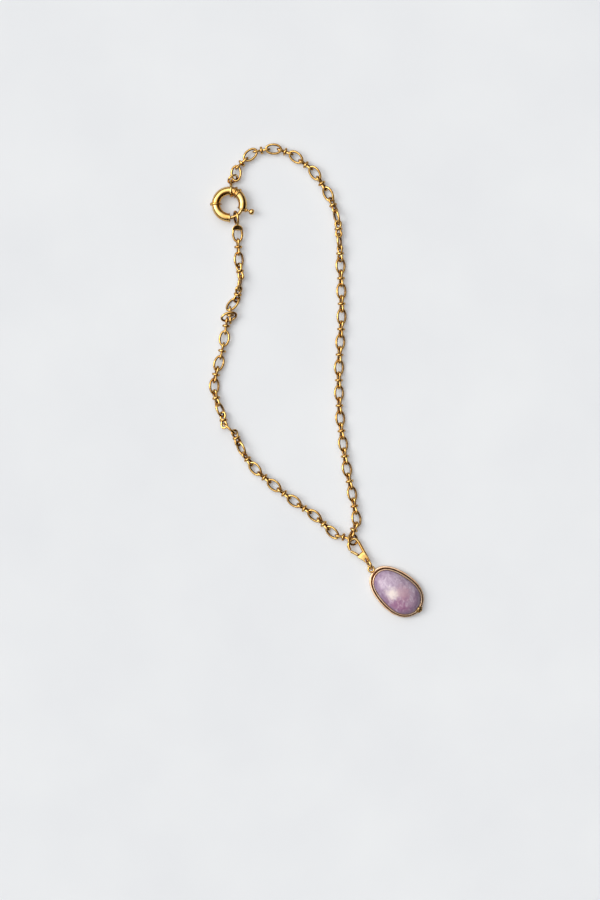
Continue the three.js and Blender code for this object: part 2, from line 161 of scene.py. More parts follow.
# An open smooth curve through points: cubics whose slope at a point is half the way between its neighbours.
def openCurve(points, steps):
    points = np.asarray(points, float)
    slope = np.gradient(points, axis=0)
    at = np.linspace(0, len(points) - 1, steps)
    i = np.minimum(at.astype(int), len(points) - 2)
    return cubic(points[i], points[i + 1], slope[i], slope[i + 1], (at - i)[:, None])


# Skins as one mesh: four-sided faces between rows and columns, a flat end on each open grid, doubles
# merged so that poles close, faces turned outwards and edges over the angle kept sharp.
def meshOf(name, skins, sharp=crease):
    points, faces, finishes, inner, start = [], [], [], [], 0
    for each in skins:
        grid, closed = each["points"], each["closed"]
        rows, columns = grid.shape[:2]
        band = np.broadcast_to(each["bands"], rows if closed else rows - 1)
        finishes += np.repeat(band, columns).tolist() + ([] if closed else [band[0], band[-1]])
        inner.append(np.broadcast_to(each["inner"], (rows, columns)).ravel())
        index = start + np.arange(rows * columns).reshape(rows, columns)
        this, following = (index, np.roll(index, -1, 0)) if closed else (index[:-1], index[1:])
        quads = [this, following, np.roll(following, -1, 1), np.roll(this, -1, 1)]
        faces += np.stack(quads, -1).reshape(-1, 4).tolist()
        if not closed:
            faces += [index[0].tolist(), index[-1].tolist()]
        points.append(grid.reshape(-1, 3))
        start += rows * columns
    mesh = bpy.data.meshes.new(name)
    mesh.from_pydata(((np.concatenate(points) + home) * millimetre).tolist(), [], faces)
    mesh.polygons.foreach_set("material_index", finishes)
    mesh.attributes.new("inner", "FLOAT", "POINT").data.foreach_set("value", np.concatenate(inner))
    edit = bmesh.new()
    edit.from_mesh(mesh)
    bmesh.ops.remove_doubles(edit, verts=edit.verts, dist=weld["merge"] * millimetre)
    bmesh.ops.dissolve_degenerate(edit, edges=edit.edges, dist=weld["collapse"] * millimetre)
    bmesh.ops.recalc_face_normals(edit, faces=edit.faces)
    edit.to_mesh(mesh)
    edit.free()
    mesh.shade_smooth()
    mesh.set_sharp_from_angle(angle=np.radians(sharp))
    return mesh


# A mesh as an object of the scene, at the origin.
def newObject(name, data):
    made = bpy.data.objects.new(name, data)
    bpy.context.scene.collection.objects.link(made)
    return made


# A piece of the part: its mesh, its finish, the node that it stands for and the body that it rides on.
def newPiece(name, skins, finishes, body="necklace", node=None, sharp=crease):
    piece = newObject(name, meshOf(name, skins, sharp))
    for finish in finishes:
        piece.data.materials.append(finish)
    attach(piece, body)
    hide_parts(node or name)
    return piece


# sRGB hex to linear: under 0.04045 a twelfth, above it the 2.4 power.
def colour(hexValue):
    share = np.array([int(hexValue[i : i + 2], 16) for i in (1, 3, 5)]) / 255
    linear = np.where(share <= 0.04045, share / 12.92, ((share + 0.055) / 1.055) ** 2.4)
    return (*linear.tolist(), 1.0)


# One node with its settings, its constants and its feeds: a feed is the output that goes to a socket.
def addNode(tree, kind, settings=None, constants=None, feeds=None):
    node = tree.nodes.new(kind)
    for key, value in (settings or {}).items():
        setattr(node, key, value)
    for key, value in (constants or {}).items():
        node.inputs[key].default_value = value
    for key, value in (feeds or {}).items():
        tree.links.new(value, node.inputs[key])
    return node


# An empty material with its nodes and a point's place on the object.
def newMaterial(name):
    made = bpy.data.materials.new(name)
    made.use_nodes = True
    made.node_tree.nodes.clear()
    return made, made.node_tree, addNode(made.node_tree, "ShaderNodeTexCoord").outputs["Object"]


# A sum on values, by the sum's own name.
def worked(tree, operation, constants, feeds):
    return addNode(tree, "ShaderNodeMath", {"operation": operation}, constants, feeds).outputs[0]


# A sum on places, by the sum's own name.
def workedOn(tree, operation, constants, feeds):
    return addNode(tree, "ShaderNodeVectorMath", {"operation": operation}, constants, feeds)


# A noise at a place, its patches of a size in millimetres.
def noise(tree, at, size, detail, distortion=0.0):
    constants = {"Scale": 1 / (size * millimetre), "Detail": detail, "Distortion": distortion}
    return addNode(tree, "ShaderNodeTexNoise", {}, constants, {"Vector": at}).outputs["Fac"]


# A value eased from least to most as it goes from low to high.
def eased(tree, value, low, high, least, most, smoothly="SMOOTHSTEP"):
    limits = {"From Min": low, "From Max": high, "To Min": least, "To Max": most}
    settings = {"interpolation_type": smoothly}
    return addNode(tree, "ShaderNodeMapRange", settings, limits, {"Value": value}).outputs["Result"]


# Hex colours at places from 0 to 1, read at a value.
def ramp(tree, value, stops):
    node = addNode(tree, "ShaderNodeValToRGB", {}, {}, {"Fac": value})
    elements = node.color_ramp.elements
    while len(elements) > 1:
        elements.remove(elements[-1])
    for i, (place, shade) in enumerate(stops):
        element = elements[0] if i == 0 else elements.new(place)
        element.position = place
        element.color = colour(shade)
    return node.outputs["Color"]


# A colour laid over what is below it, by an amount.
def laidOver(tree, below, hexValue, amount):
    constants, feeds = {7: colour(hexValue)}, {0: amount, 6: below}
    return addNode(tree, "ShaderNodeMix", {"data_type": "RGBA"}, constants, feeds).outputs[2]


# A material's surface, from its constants and feeds.
def surfaced(tree, constants, feeds):
    shader = addNode(tree, "ShaderNodeBsdfPrincipled", {}, constants, feeds)
    addNode(tree, "ShaderNodeOutputMaterial", {}, {}, {"Surface": shader.outputs["BSDF"]})


# The metals, all plated brass. Polished: tumbled and buffed, a warm mirror under a clear lacquer, as on
# the clasp and the clip. Antiqued: dipped to darken, then polished again, so that brown patina stays on the
# inner side of each link; that brown is also painted shade and dark reflection between the links. Satin rose
# gold: brushed and plated pale and pinkish, a soft sheen on the bezel. Recesses: the rose gold's groove left
# tarnished and darkened with painted shade, the tag's face blackened. Worn: rubbed by handling, dull and
# brown. On each, the plating's tone varies over a patch, a faint orange peel bends the reflections and a
# finer haze blurs them. The inner side's brown, patina and painted shade, also on the polished metal's
# ring-shaped wires, rises with the inner side's value less a noise.
platings = {
    "polished gold-plated brass": {
        "deep": "#dea84e", "light": "#eec97e", "rough": 0.18, "peel": 0.012, "patch": 3.0,
        "patinaAndShade": 0.6, "lacquer": 0.8,
    },
    "antiqued gold-plated brass with painted inner shade": {
        "deep": "#c68f3a", "light": "#eabf6c", "rough": 0.12, "peel": 0.012, "patch": 1.3,
        "patinaAndShade": 0.9, "lacquer": 0.8,
    },
    "satin pale rose-gold plating": {
        "deep": "#edc29a", "light": "#f5d6b4", "rough": 0.3, "peel": 0.010, "patch": 3.0,
        "patinaAndShade": 0.0, "lacquer": 0.3,
    },
    "tarnished rose-gold recess with painted shade": {
        "deep": "#7c5c46", "light": "#a5846a", "rough": 0.4, "peel": 0.02, "patch": 2.0,
        "patinaAndShade": 0.0, "lacquer": 0.0,
    },
    "worn brown gold": {
        "deep": "#8f6c40", "light": "#cdad7a", "rough": 0.32, "peel": 0.02, "patch": 1.2,
        "patinaAndShade": 0.0, "lacquer": 0.0,
    },
    "blackened gold recess": {
        "deep": "#22160a", "light": "#3a2812", "rough": 0.3, "peel": 0.02, "patch": 1.0,
        "patinaAndShade": 0.0, "lacquer": 0.0,
    },
}
# flank is the metal's edge tint at grazing angles, dark brown so that wire flanks read darker: a painted dark
# reflection.
grain = {
    "peel": 0.55, "haze": 0.16, "flank": "#7a4a16", "deepAt": 0.35, "lightAt": 0.65,
    "hazeFrom": 0.3, "hazeTo": 0.7, "clearest": 0.75, "haziest": 1.3,  # shares of the metal's own roughness
}
# The brown laid on the inner side of ring-shaped wires: partly patina, partly painted shade and dark
# reflection between the links.
patinaAndShade = {"tone": "#4a2c0c", "fray": 0.6, "from": -0.1, "to": 0.5}


# A metal's material, by its name in the dictionary.
def plating(name):
    look = platings[name]
    made, tree, at = newMaterial(name)
    tone = noise(tree, at, look["patch"], 3.0)
    shade = ramp(tree, tone, [(grain["deepAt"], look["deep"]), (grain["lightAt"], look["light"])])
    inner = addNode(tree, "ShaderNodeAttribute", {"attribute_name": "inner"}).outputs["Fac"]
    # How much of the inner side's patina and painted shade a point takes.
    kept = worked(tree, "MULTIPLY_ADD", {1: -patinaAndShade["fray"]}, {0: tone, 2: inner})
    amount = eased(tree, kept, patinaAndShade["from"], patinaAndShade["to"], 0.0, look["patinaAndShade"])
    haze = noise(tree, at, grain["haze"], 4.0)
    least, most = look["rough"] * grain["clearest"], look["rough"] * grain["haziest"]
    rough = eased(tree, haze, grain["hazeFrom"], grain["hazeTo"], least, most, "LINEAR")
    bump = addNode(tree, "ShaderNodeBump", {}, {"Strength": 1.0, "Distance": look["peel"] * millimetre},
                   {"Height": noise(tree, at, grain["peel"], 2.0)})
    constants = {"Metallic": 1.0, "Coat Weight": look["lacquer"], "Coat Roughness": look["rough"],
                 "Specular Tint": colour(grain["flank"])}
    surfaced(tree, constants, {"Base Color": laidOver(tree, shade, patinaAndShade["tone"], amount),
                               "Roughness": rough, "Normal": bump.outputs["Normal"]})
    return made


gold = plating("polished gold-plated brass")
chainGold = plating("antiqued gold-plated brass with painted inner shade")
roseGold = plating("satin pale rose-gold plating")
# The groove's finish: tarnish plus painted shade darkening the recess.
shadedRecessGold = plating("tarnished rose-gold recess with painted shade")
wornGold = plating("worn brown gold")
blackGold = plating("blackened gold recess")
print("metals made")

# The chain: oval links joined by connectors, each connector a long loop pinched at its waist under a
# collar of the same wire. A row gives a link's centre and its roll about its own length; links between
# rows follow a smooth curve. heading, z, back and front stand where the pull of the neighbours doesn't.
# rolls are the connectors turned otherwise than halfway between their ovals. Past singles, counted in
# ovals and connectors, three in a row are one piece. ringHook is where the last one holds the centre ring.
oval = {
    "halfLength": 3.7, "halfWidth": 2.25, "wire": 0.6, "steps": 72, "sides": 20,
    "solder": 0.035, "solderArc": 0.09, "seam": 1.5, "seamStep": 2.4,  # the seam moves on from link to link
}
connector = {
    "halfLength": 4.0, "waist": 0.5, "swell": 1.95, "pinch": 0.002, "wire": 0.57, "steps": 112, "sides": 16,
}
collar = {"radius": 1.4, "wire": 0.65, "steps": 48, "sides": 14}
rest = {"height": 2.05, "room": 0.05}
strands = {
    "right": {
        "links": 19,
        "singles": 16,
        "rows": [
            {"link": 1, "x": -39.95, "y": 103.35, "z": 2.4, "roll": 0, "heading": 88},
            {"link": 2, "x": -32.85, "y": 112.7, "roll": 5, "heading": 40},
            {"link": 3, "x": -21.25, "y": 115.6, "roll": 10, "heading": -2},
            {"link": 4, "x": -10.05, "y": 111.55, "roll": 18, "heading": -38},
            {"link": 5, "x": -0.6, "y": 103.55, "roll": 22, "heading": -54},
            {"link": 6, "x": 6.1, "y": 93.1, "roll": 30, "heading": -62},
            {"link": 7, "x": 10.3, "y": 81.6, "roll": 65.3},
            {"link": 8, "x": 11.64, "y": 69.45, "roll": 110},
            {"link": 9, "x": 12.25, "y": 57.25, "roll": 152},
            {"link": 11, "x": 12.8, "y": 31.8, "roll": 149},
            {"link": 13, "x": 11.5, "y": 6.3, "roll": 151},
            {"link": 15, "x": 12.1, "y": -19.15, "roll": 149},
            {"link": 17, "x": 15.45, "y": -44.4, "roll": 151},
            {"link": 18, "x": 18.05, "y": -56.85, "roll": 150},
            {"link": 19, "x": 20.2, "y": -69.3, "z": 2.07, "roll": 150, "heading": -81.5, "front": 26},
        ],
        "rolls": {7: 174.8, 19: 59.5},
        "ringHook": -9.7,
    },
    "left": {
        "links": 16,
        "singles": 22,
        "rows": [
            {"link": 1, "x": -39.2, "y": 72.9, "roll": 0, "heading": -88},
            {"link": 2, "x": -38.65, "y": 60.25, "roll": -32},
            {"link": 3, "x": -38.2, "y": 48.5, "roll": -81, "heading": -99},
            {"link": 4, "x": -41.75, "y": 38, "z": 1.75, "roll": -148.5, "heading": -133.4, "front": -36},
            {"link": 5, "x": -43.55, "y": 31.65, "z": 3.3, "roll": 35.4, "heading": 16, "back": -87.3,
             "front": -115.2},
            {"link": 6, "x": -45.85, "y": 20.85, "roll": 0, "heading": -98},
            {"link": 7, "x": -48.6, "y": 8.4, "roll": -15, "heading": -108},
            {"link": 8, "x": -50.9, "y": -3, "roll": -24, "heading": -91},
            {"link": 9, "x": -48, "y": -14.75, "roll": -52, "heading": -68},
            {"link": 10, "x": -43.28, "y": -24.4, "roll": -91, "heading": -42},
            {"link": 11, "x": -37.45, "y": -34.2, "roll": -130, "heading": -64.8},
            {"link": 12, "x": -30.45, "y": -44.35, "roll": -158},
            {"link": 14, "x": -10.95, "y": -60.6, "roll": -160},
            {"link": 15, "x": -0.75, "y": -67.9, "roll": -155},
            {"link": 16, "x": 8.2, "y": -76.2, "z": 2.08, "roll": -150, "heading": -44.7, "front": -25},
        ],
        "rolls": {3: -23.6, 4: 87.8, 5: 93.4, 6: 90, 16: 93.6},
        "ringHook": 61.4,
    },
}
stretch = 3  # ovals and connectors in a joined piece
centreRing = {
    "x": 18.35, "y": -79.75, "z": 2.25, "radius": 2.675, "wire": 0.575, "heading": 105.7, "roll": 37,
}


# A piece's own axes, from its place, its heading and its roll.
def axesOf(piece):
    return frameAt(spot(piece), flat(piece["heading"]), piece["roll"])


# A value of the rows at a link number: a cubic between rows whose slopes come from the rows around.
def smooth(rows, key, link):
    numbers = [row["link"] for row in rows]
    values = [row[key] for row in rows]
    i = min(sum(number <= link for number in numbers) - 1, len(rows) - 2)
    slopes = []
    for j in (i, i + 1):
        before, after = max(j - 1, 0), min(j + 1, len(rows) - 1)
        slopes.append((values[after] - values[before]) / (numbers[after] - numbers[before]))
    span = numbers[i + 1] - numbers[i]
    t = (link - numbers[i]) / span
    return cubic(values[i], values[i + 1], span * slopes[0], span * slopes[1], t)


# The point of an oval's wire at an ellipse angle.
def hookPoint(here, angle):
    turn = np.radians(angle)
    return placed([oval["halfLength"] * np.cos(turn), oval["halfWidth"] * np.sin(turn), 0], here)


# The ellipse angle where a neighbour that lies towards a point pulls the wire.
def pulledAngle(here, towards):
    x, y, _ = here["axes"] @ (towards - here["at"])
    return np.degrees(np.arctan2(oval["halfWidth"] * y, oval["halfLength"] * x))


# Every oval of a strand: its frame, its roll and the two points where its neighbours hook on.
def layOvals(strand):
    rows, last = strand["rows"], strand["links"]

    def centre(link):
        if link > last:
            return np.array([centreRing["x"], centreRing["y"], rest["height"]])
        return np.array([smooth(rows, "x", link), smooth(rows, "y", link), rest["height"]])

    laid = []
    for link in range(1, last + 1):
        row = next((each for each in rows if each["link"] == link), {})
        roll = smooth(rows, "roll", link)
        at, after = centre(link), centre(link + 1)
        before = centre(link - 1) if link > 1 else at
        along = flat(row["heading"]) if "heading" in row else after - before
        low = oval["halfWidth"] * abs(np.sin(np.radians(roll))) + oval["wire"] + rest["room"]
        here = frameAt([at[0], at[1], row.get("z", max(rest["height"], low))], along, roll)
        back = hookPoint(here, row.get("back", pulledAngle(here, before)))
        front = hookPoint(here, row.get("front", pulledAngle(here, after)))
        laid.append({"frame": here, "roll": roll, "back": back, "front": front})
    return laid


# An oval link: a round section carried round an ellipse, a hair thicker where its ends are soldered.
def ovalSkin(here, seam):
    path = ellipse(oval["halfLength"], oval["halfWidth"], oval["steps"])
    apart = (circle(oval["steps"]) - seam + np.pi) % tau - np.pi
    thicker = 1 + oval["solder"] / oval["wire"] * np.exp(-((apart / oval["solderArc"]) ** 2))
    section = thicker[:, None, None] * roundSection(oval["sides"], oval["wire"])
    return wireSkin(placed(carried(path, [0, 0, 1], section), here))


# A connector: a round section carried round a loop whose half-width is the waist plus the swell times
# the share of its length from the middle, and a wire collar round the waist.
def connectorSkins(start, end, roll):
    here = frameAt((start + end) / 2, end - start, roll)
    turn = circle(connector["steps"])
    reach = np.cos(turn)
    width = connector["waist"] + connector["swell"] * np.sqrt(reach**2 + connector["pinch"])
    path = np.stack([connector["halfLength"] * reach, np.sin(turn) * width, 0 * turn], -1)
    points = placed(carried(path, [0, 0, 1], roundSection(connector["sides"], connector["wire"])), here)
    return [wireSkin(points), torus(collar, {"at": here["at"], "axes": here["axes"][[1, 2, 0]]})]


for side, strand in strands.items():
    laid = layOvals(strand)
    hook = np.radians(strand["ringHook"])
    ends = [each["back"] for each in laid[1:]]
    ends.append(placed(centreRing["radius"] * np.array([np.cos(hook), np.sin(hook), 0]), axesOf(centreRing)))
    links = []
    for i, here in enumerate(laid):
        following = laid[i + 1]["roll"] if i + 1 < len(laid) else 0
        roll = strand["rolls"].get(i + 1, (here["roll"] + following) / 2 + 90)
        links.append([ovalSkin(here["frame"], oval["seam"] + i * oval["seamStep"])])
        links.append(connectorSkins(here["front"], ends[i], roll))
    place = 1 if side == "left" else 0  # the first left oval is soldered to the end link
    while place < len(links):
        joined = strand["singles"] <= place < len(links) - 1
        name = f"{side}_{'connector' if place % 2 else 'oval'}_{place // 2 + 1}" + "_stretch" * joined
        count = min(stretch, len(links) - 1 - place) if joined else 1
        newPiece(name + "_wire", sum(links[place : place + count], []), [chainGold], node=name)
        place += count
newPiece("centre_ring_wire", [torus(centreRing, axesOf(centreRing))], [chainGold], node="centre_ring")
print("chain laid:", sum(strand["links"] for strand in strands.values()), "oval links")

# The clasp: a bolt ring. Its body is a bent tube, open at one end for the bolt and at the other for the
# bolt's tip, with raised beads round it; angles are in degrees from +X about the ring's centre.
clasp = {
    "x": -43.3, "y": 87.85, "z": 3.38, "radius": 6.7, "tube": 2.15, "from": -27, "to": 274, "round": 0.22,
    "step": 2.0, "sides": 40, "lipSteps": 6,
}
claspBore = {"radius": 1.3, "from": -20, "to": 54, "steps": 24}
claspSocket = {"radius": 1.15, "from": 266}
claspSlot = {"from": -23.5, "to": 30.5, "width": 1.5, "depth": 2.4, "steps": 24}
claspBeads = [
    {"at": -25.0, "height": 0.5, "width": 1.1},
    {"at": 52.5, "height": 0.78, "width": 1.15},
    {"at": 66.5, "height": 0.62, "width": 1.15},
    {"at": 180, "height": 0.9, "width": 1.3},
    {"at": 271.6, "height": 0.34, "width": 0.9},
]
beadShares = np.sin(np.linspace(-np.pi / 2, np.pi / 2, 17))  # stations of a bead, by share of its half-width
claspBolt = {"radius": 0.9, "from": -90, "to": 5, "tip": 0.15, "tipSteps": 8, "steps": 60, "sides": 28}
boltStem = {"heading": -19, "steps": 90, "sides": 36}
boltStemProfile = [  # distance from the ring's centre and radius
    (6.9, 0.45), (8.85, 0.5), (8.95, 0.72), (9.15, 0.85), (9.4, 0.85), (9.6, 0.7), (9.7, 0.5), (10.35, 0.48),
    (10.5, 0.75), (10.75, 1.12), (11.1, 1.36), (11.6, 1.45), (12.15, 1.42), (12.55, 1.28), (12.8, 1.06),
    (12.88, 0.9), (12.82, 0.74), (12.7, 0.5), (12.66, 0.2),
]


# A bent tube: at each station's angle a circle of the station's radius stands across the ring.
def ringTube(stations, sides):
    angle, tube = np.radians(stations[:, 0]), stations[:, 1]
    outwards = np.stack([np.cos(angle), np.sin(angle), 0 * angle], -1)
    turn = circle(sides)
    reach = clasp["radius"] + tube[:, None] * np.cos(turn)
    points = reach[..., None] * outwards[:, None]
    points[..., 2] += tube[:, None] * np.sin(turn)
    return skin(points + spot(clasp))


# A tube's rounded end as distances from the end and radii, from the outer wall to the inner one.
def roundedLip(outer, inner, edge):
    turn = np.linspace(0, np.pi / 2, clasp["lipSteps"])
    back = np.concatenate([edge * (1 - np.sin(turn)), edge * (1 - np.cos(turn))])
    radius = np.concatenate([outer - edge * (1 - np.cos(turn)), inner + edge * (1 - np.sin(turn))])
    return np.stack([back, radius], -1)


# Degrees that a length takes up on the ring.
def degreesOf(length):
    return np.degrees(length / clasp["radius"])


# The clasp's wall: the tube radius, raised at each bead by its height times the root of one less the
# square of the share of its half-width.
claspAngles = [np.arange(clasp["from"] + clasp["step"], clasp["to"] - clasp["step"], clasp["step"])]
claspAngles += [bead["at"] + degreesOf(bead["width"] / 2) * beadShares for bead in claspBeads]
claspAngles = np.unique(np.round(np.concatenate(claspAngles), 3))
lipAngle = degreesOf(clasp["round"])
inWall = (claspAngles > clasp["from"] + lipAngle) & (claspAngles < clasp["to"] - lipAngle)
claspAngles = claspAngles[inWall]
claspRadii = np.full(len(claspAngles), clasp["tube"])
for bead in claspBeads:
    fromTop = (claspAngles - bead["at"]) / degreesOf(bead["width"] / 2)
    claspRadii += bead["height"] * np.sqrt(np.clip(1 - fromTop**2, 0, 1))
boreLip = roundedLip(clasp["tube"], claspBore["radius"], clasp["round"])[::-1]
socketLip = roundedLip(clasp["tube"], claspSocket["radius"], clasp["round"])
boreAngles = np.linspace(claspBore["to"], claspBore["from"], claspBore["steps"])
claspStations = np.concatenate([
    np.stack([boreAngles, np.full(len(boreAngles), claspBore["radius"])], -1),
    np.stack([clasp["from"] + degreesOf(boreLip[:, 0]), boreLip[:, 1]], -1),
    np.stack([claspAngles, claspRadii], -1),
    np.stack([clasp["to"] - degreesOf(socketLip[:, 0]), socketLip[:, 1]], -1),
    [[claspSocket["from"], claspSocket["radius"]]],
])
claspPiece = newPiece("clasp_tube", [ringTube(claspStations, clasp["sides"])], [gold], node="clasp_body")

# The lever's slot, cut through the outer wall: a straight-sided bar carried round the ring.
slotAngles = np.radians(np.linspace(claspSlot["from"], claspSlot["to"], claspSlot["steps"]))
slotPath = np.stack([np.cos(slotAngles), np.sin(slotAngles), 0 * slotAngles], -1)
slotPath = (clasp["radius"] + clasp["tube"]) * slotPath + spot(clasp)
slotSection = np.array([[-1, -1], [1, -1], [1, 1], [-1, 1]])
slotSection = slotSection * [claspSlot["depth"] / 2, claspSlot["width"] / 2]
cutter = newObject("slot", meshOf("slot", [skin(carried(slotPath, [0, 0, 1], slotSection, closed=False))]))
cut = claspPiece.modifiers.new("slot", "BOOLEAN")
cut.operation, cut.solver, cut.object = "DIFFERENCE", "EXACT", cutter
slotted = bpy.data.meshes.new_from_object(claspPiece.evaluated_get(bpy.context.evaluated_depsgraph_get()))
claspPiece.modifiers.clear()
claspPiece.data = slotted
claspPiece.data.set_sharp_from_angle(angle=np.radians(crease))
bpy.data.objects.remove(cutter)

# The bolt: a bent pin with round ends and a turned lever that stands out through the slot. Near an end
# the radius is the root of one less the square of the share of the radius still to go.
boltLength = np.radians(claspBolt["to"] - claspBolt["from"]) * clasp["radius"]
tipTurn = np.linspace(claspBolt["tip"], np.pi / 2, claspBolt["tipSteps"])
boltAlong = np.concatenate([claspBolt["radius"] * (1 - np.cos(tipTurn)), [boltLength / 4, boltLength / 2]])
boltAlong = np.concatenate([boltAlong, boltLength - boltAlong[-2::-1]])
nearEnd = np.clip(np.minimum(boltAlong, boltLength - boltAlong) / claspBolt["radius"], 0, 1)
boltRadii = claspBolt["radius"] * np.sqrt(1 - (1 - nearEnd) ** 2)
boltStations = np.stack([claspBolt["from"] + degreesOf(boltAlong), boltRadii], -1)
boltSteps = np.linspace(0, len(boltStations) - 1, claspBolt["steps"])
boltColumns = [np.interp(boltSteps, range(len(boltStations)), column) for column in boltStations.T]
boltStations = np.stack(boltColumns, -1)
stemFrame = frameAt(spot(clasp), flat(boltStem["heading"]), 0)
stemAlong, stemRadius = openCurve(boltStemProfile, boltStem["steps"]).T
stemSkin = turned(stemAlong, stemRadius, stemFrame, boltStem["sides"])
boltSkins = [ringTube(boltStations, claspBolt["sides"]), stemSkin]
newPiece("clasp_bolt_pin", boltSkins, [gold], body="clasp_bolt", node="clasp_bolt")
print("clasp made")

# The bail: a wire, a little flattened, round the clasp's tube and, smaller, round the jump ring: two arcs
# and their tangents.
bail = {
    "x": -42.5, "wire": 0.45, "broad": 0.66, "aroundTube": 2.88,
    "steps": 60, "sideSteps": 12, "sides": 18,
}
bailEnd = {"y": 98.8, "z": 1.82, "radius": 1.29, "steps": 24}
jumpRing = {"x": -41.62, "y": 100.48, "z": 3.34, "radius": 2.53, "wire": 0.55, "heading": 35.9, "roll": 61.1}
tubeAt = np.array([clasp["y"] + clasp["radius"], clasp["z"]])
bailEndAt = np.array([bailEnd["y"], bailEnd["z"]])
towardsEnd = np.arctan2(*(bailEndAt - tubeAt)[::-1])
tangentTurn = np.arccos((bail["aroundTube"] - bailEnd["radius"]) / np.linalg.norm(bailEndAt - tubeAt))


# An arc of the bail in y and z: the radius times the cosine and sine of each turn.
def bailArc(at, radius, turns):
    return at + radius * np.stack([np.cos(turns), np.sin(turns)], -1)


tubeTurns = np.linspace(towardsEnd + tangentTurn, towardsEnd + tau - tangentTurn, bail["steps"])
endTurns = np.linspace(towardsEnd - tangentTurn, towardsEnd + tangentTurn, bailEnd["steps"])
tubeArc = bailArc(tubeAt, bail["aroundTube"], tubeTurns)
endArc = bailArc(bailEndAt, bailEnd["radius"], endTurns)
lowerSide = np.linspace(tubeArc[-1], endArc[0], bail["sideSteps"] + 2)[1:-1]
upperSide = np.linspace(endArc[-1], tubeArc[0], bail["sideSteps"] + 2)[1:-1]
bailPath = np.concatenate([tubeArc, lowerSide, endArc, upperSide])
bailPath = np.concatenate([np.full((len(bailPath), 1), bail["x"]), bailPath], -1)
bailSection = roundSection(bail["sides"], bail["wire"], bail["broad"])
bailSkin = skin(carried(bailPath, [1, 0, 0], bailSection), closed=True)
newPiece("clasp_bail_wire", [bailSkin], [gold], node="clasp_bail")
newPiece("clasp_jump_ring_wire", [torus(jumpRing, axesOf(jumpRing))], [gold], node="clasp_jump_ring")

# The end link, one soldered piece: an eye for the bolt, a half-moon tag with a darkened face, an oval link.
eye = {"x": -39.9, "y": 81, "z": 3.2, "halfLength": 3.2, "halfWidth": 2.25, "heading": 99.7, "roll": -68}
tag = {
    "y": 74.75, "halfWidth": 2.75, "height": 2.95, "bottom": 2.25, "middle": 1.15, "dish": 0.11,
    "archSteps": 49, "baseSteps": 24,
}
tagRows = [  # inset from the outline and height; the last is the darkened face
    (0.12, 0), (0, 0.1), (0, 1.4), (0.05, 1.54), (0.16, 1.6), (0.34, 1.6), (0.42, 1.54), (0.46, 1.3),
]
endOval = {"z": 2.5, "pitch": 8, "seam": 2.6}
firstRow = strands["left"]["rows"][0]
eyePath = ellipse(eye["halfLength"], eye["halfWidth"], oval["steps"])
eyeGrid = carried(eyePath, [0, 0, 1], roundSection(oval["sides"], oval["wire"]))
endAlong = flat(firstRow["heading"]) - [0, 0, np.tan(np.radians(endOval["pitch"]))]
endFrame = frameAt([firstRow["x"], firstRow["y"], endOval["z"]], endAlong, 0)
arch = np.linspace(0, np.pi, tag["archSteps"])
tagArch = np.stack([tag["halfWidth"] * np.cos(arch), tag["height"] * np.sin(arch)], -1)
baseAcross = np.linspace(-1, 1, tag["baseSteps"] + 2)[1:-1] * tag["halfWidth"]
tagBase = np.stack([baseAcross, np.zeros(tag["baseSteps"])], -1)
tagOutline = np.concatenate([tagArch, tagBase]) - [0, tag["middle"]]
tagReach = np.linalg.norm(tagOutline, axis=1, keepdims=True)
tagGrid = np.stack([
    np.column_stack([tagOutline * (1 - inset / tagReach), np.full(len(tagOutline), height)])
    for inset, height in tagRows
])
tagGrid[-1, :, 2] += tag["dish"] * tagGrid[-1, :, 1]  # the face leans to the flat edge
tagGrid += [firstRow["x"], tag["y"] + tag["middle"], tag["bottom"]]
tagBands = np.array([0] * (len(tagRows) - 2) + [1])
eyeSkin = wireSkin(placed(eyeGrid, axesOf(eye)))
endSkins = [eyeSkin, skin(tagGrid, bands=tagBands), ovalSkin(endFrame, endOval["seam"])]
newPiece("end_link_wire", endSkins, [chainGold, blackGold], node="end_link")
print("end link made")

# The clip that carries the pendant, lying in its own axes: u along it from the pendant's end, v to the
# gate's side. Its wire is bent like a hook and tapers to a soft point; the foot is one casting with it.
clip = {
    "x": 25.75, "y": -90.25, "z": 2.15, "heading": 129, "roll": 0, "wire": 0.74, "steps": 110, "sides": 20,
    "pointFrom": 0.985, "point": 0.0152, "root": 0.1, "rootLength": 0.2,  # shares of the spine's length
}
clipSpine = [
    (2.6, -0.95), (4.95, -1.43), (8.57, -2.12), (10.63, -2.36), (12.35, -1.83), (13.0, -0.23), (12.62, 1.68),
    (11.58, 2.78), (9.2, 3.58),
]
clipFoot = [
    (-1.45, 0.05), (-0.95, 1.1), (0.3, 1.65), (1.75, 2.1), (4.1, 2.75), (4.75, 2.2), (5.0, 0.85),
    (4.95, -1.1), (4.5, -2.0), (3.3, -1.85), (0.3, -1.35), (-0.95, -1.0),
]
clipHole = {"u": 0.06, "v": 0.14, "radius": 0.95}
footSection = [  # share of the way from the hole to the outline, and height
    (0, -0.5), (0.06, -0.72), (0.5, -0.8), (0.86, -0.66), (0.97, -0.4), (1, 0), (0.97, 0.34), (0.86, 0.6),
    (0.62, 0.76), (0.3, 0.8), (0.1, 0.78), (0.02, 0.68), (0, 0.5),
]
footSteps = {"round": 72, "over": 40}
gate = {"from": (5.1, 2.02), "to": (8.6, 3.48), "steps": 48, "sides": 28}
gateProfile = [  # distance along the gate and radius, slim at the pivot and blunt at the nose
    (-0.62, 0.05), (-0.55, 0.3), (-0.35, 0.52), (0, 0.7), (0.5, 0.76), (2.2, 0.72), (3.3, 0.72), (3.8, 0.72),
    (4.05, 0.6), (4.14, 0.36), (4.16, 0.05),
]
clipLink = {"x": 26.65, "y": -92.2, "z": 2.7, "radius": 2.4, "wire": 0.58, "heading": -67.5, "roll": 74.4}

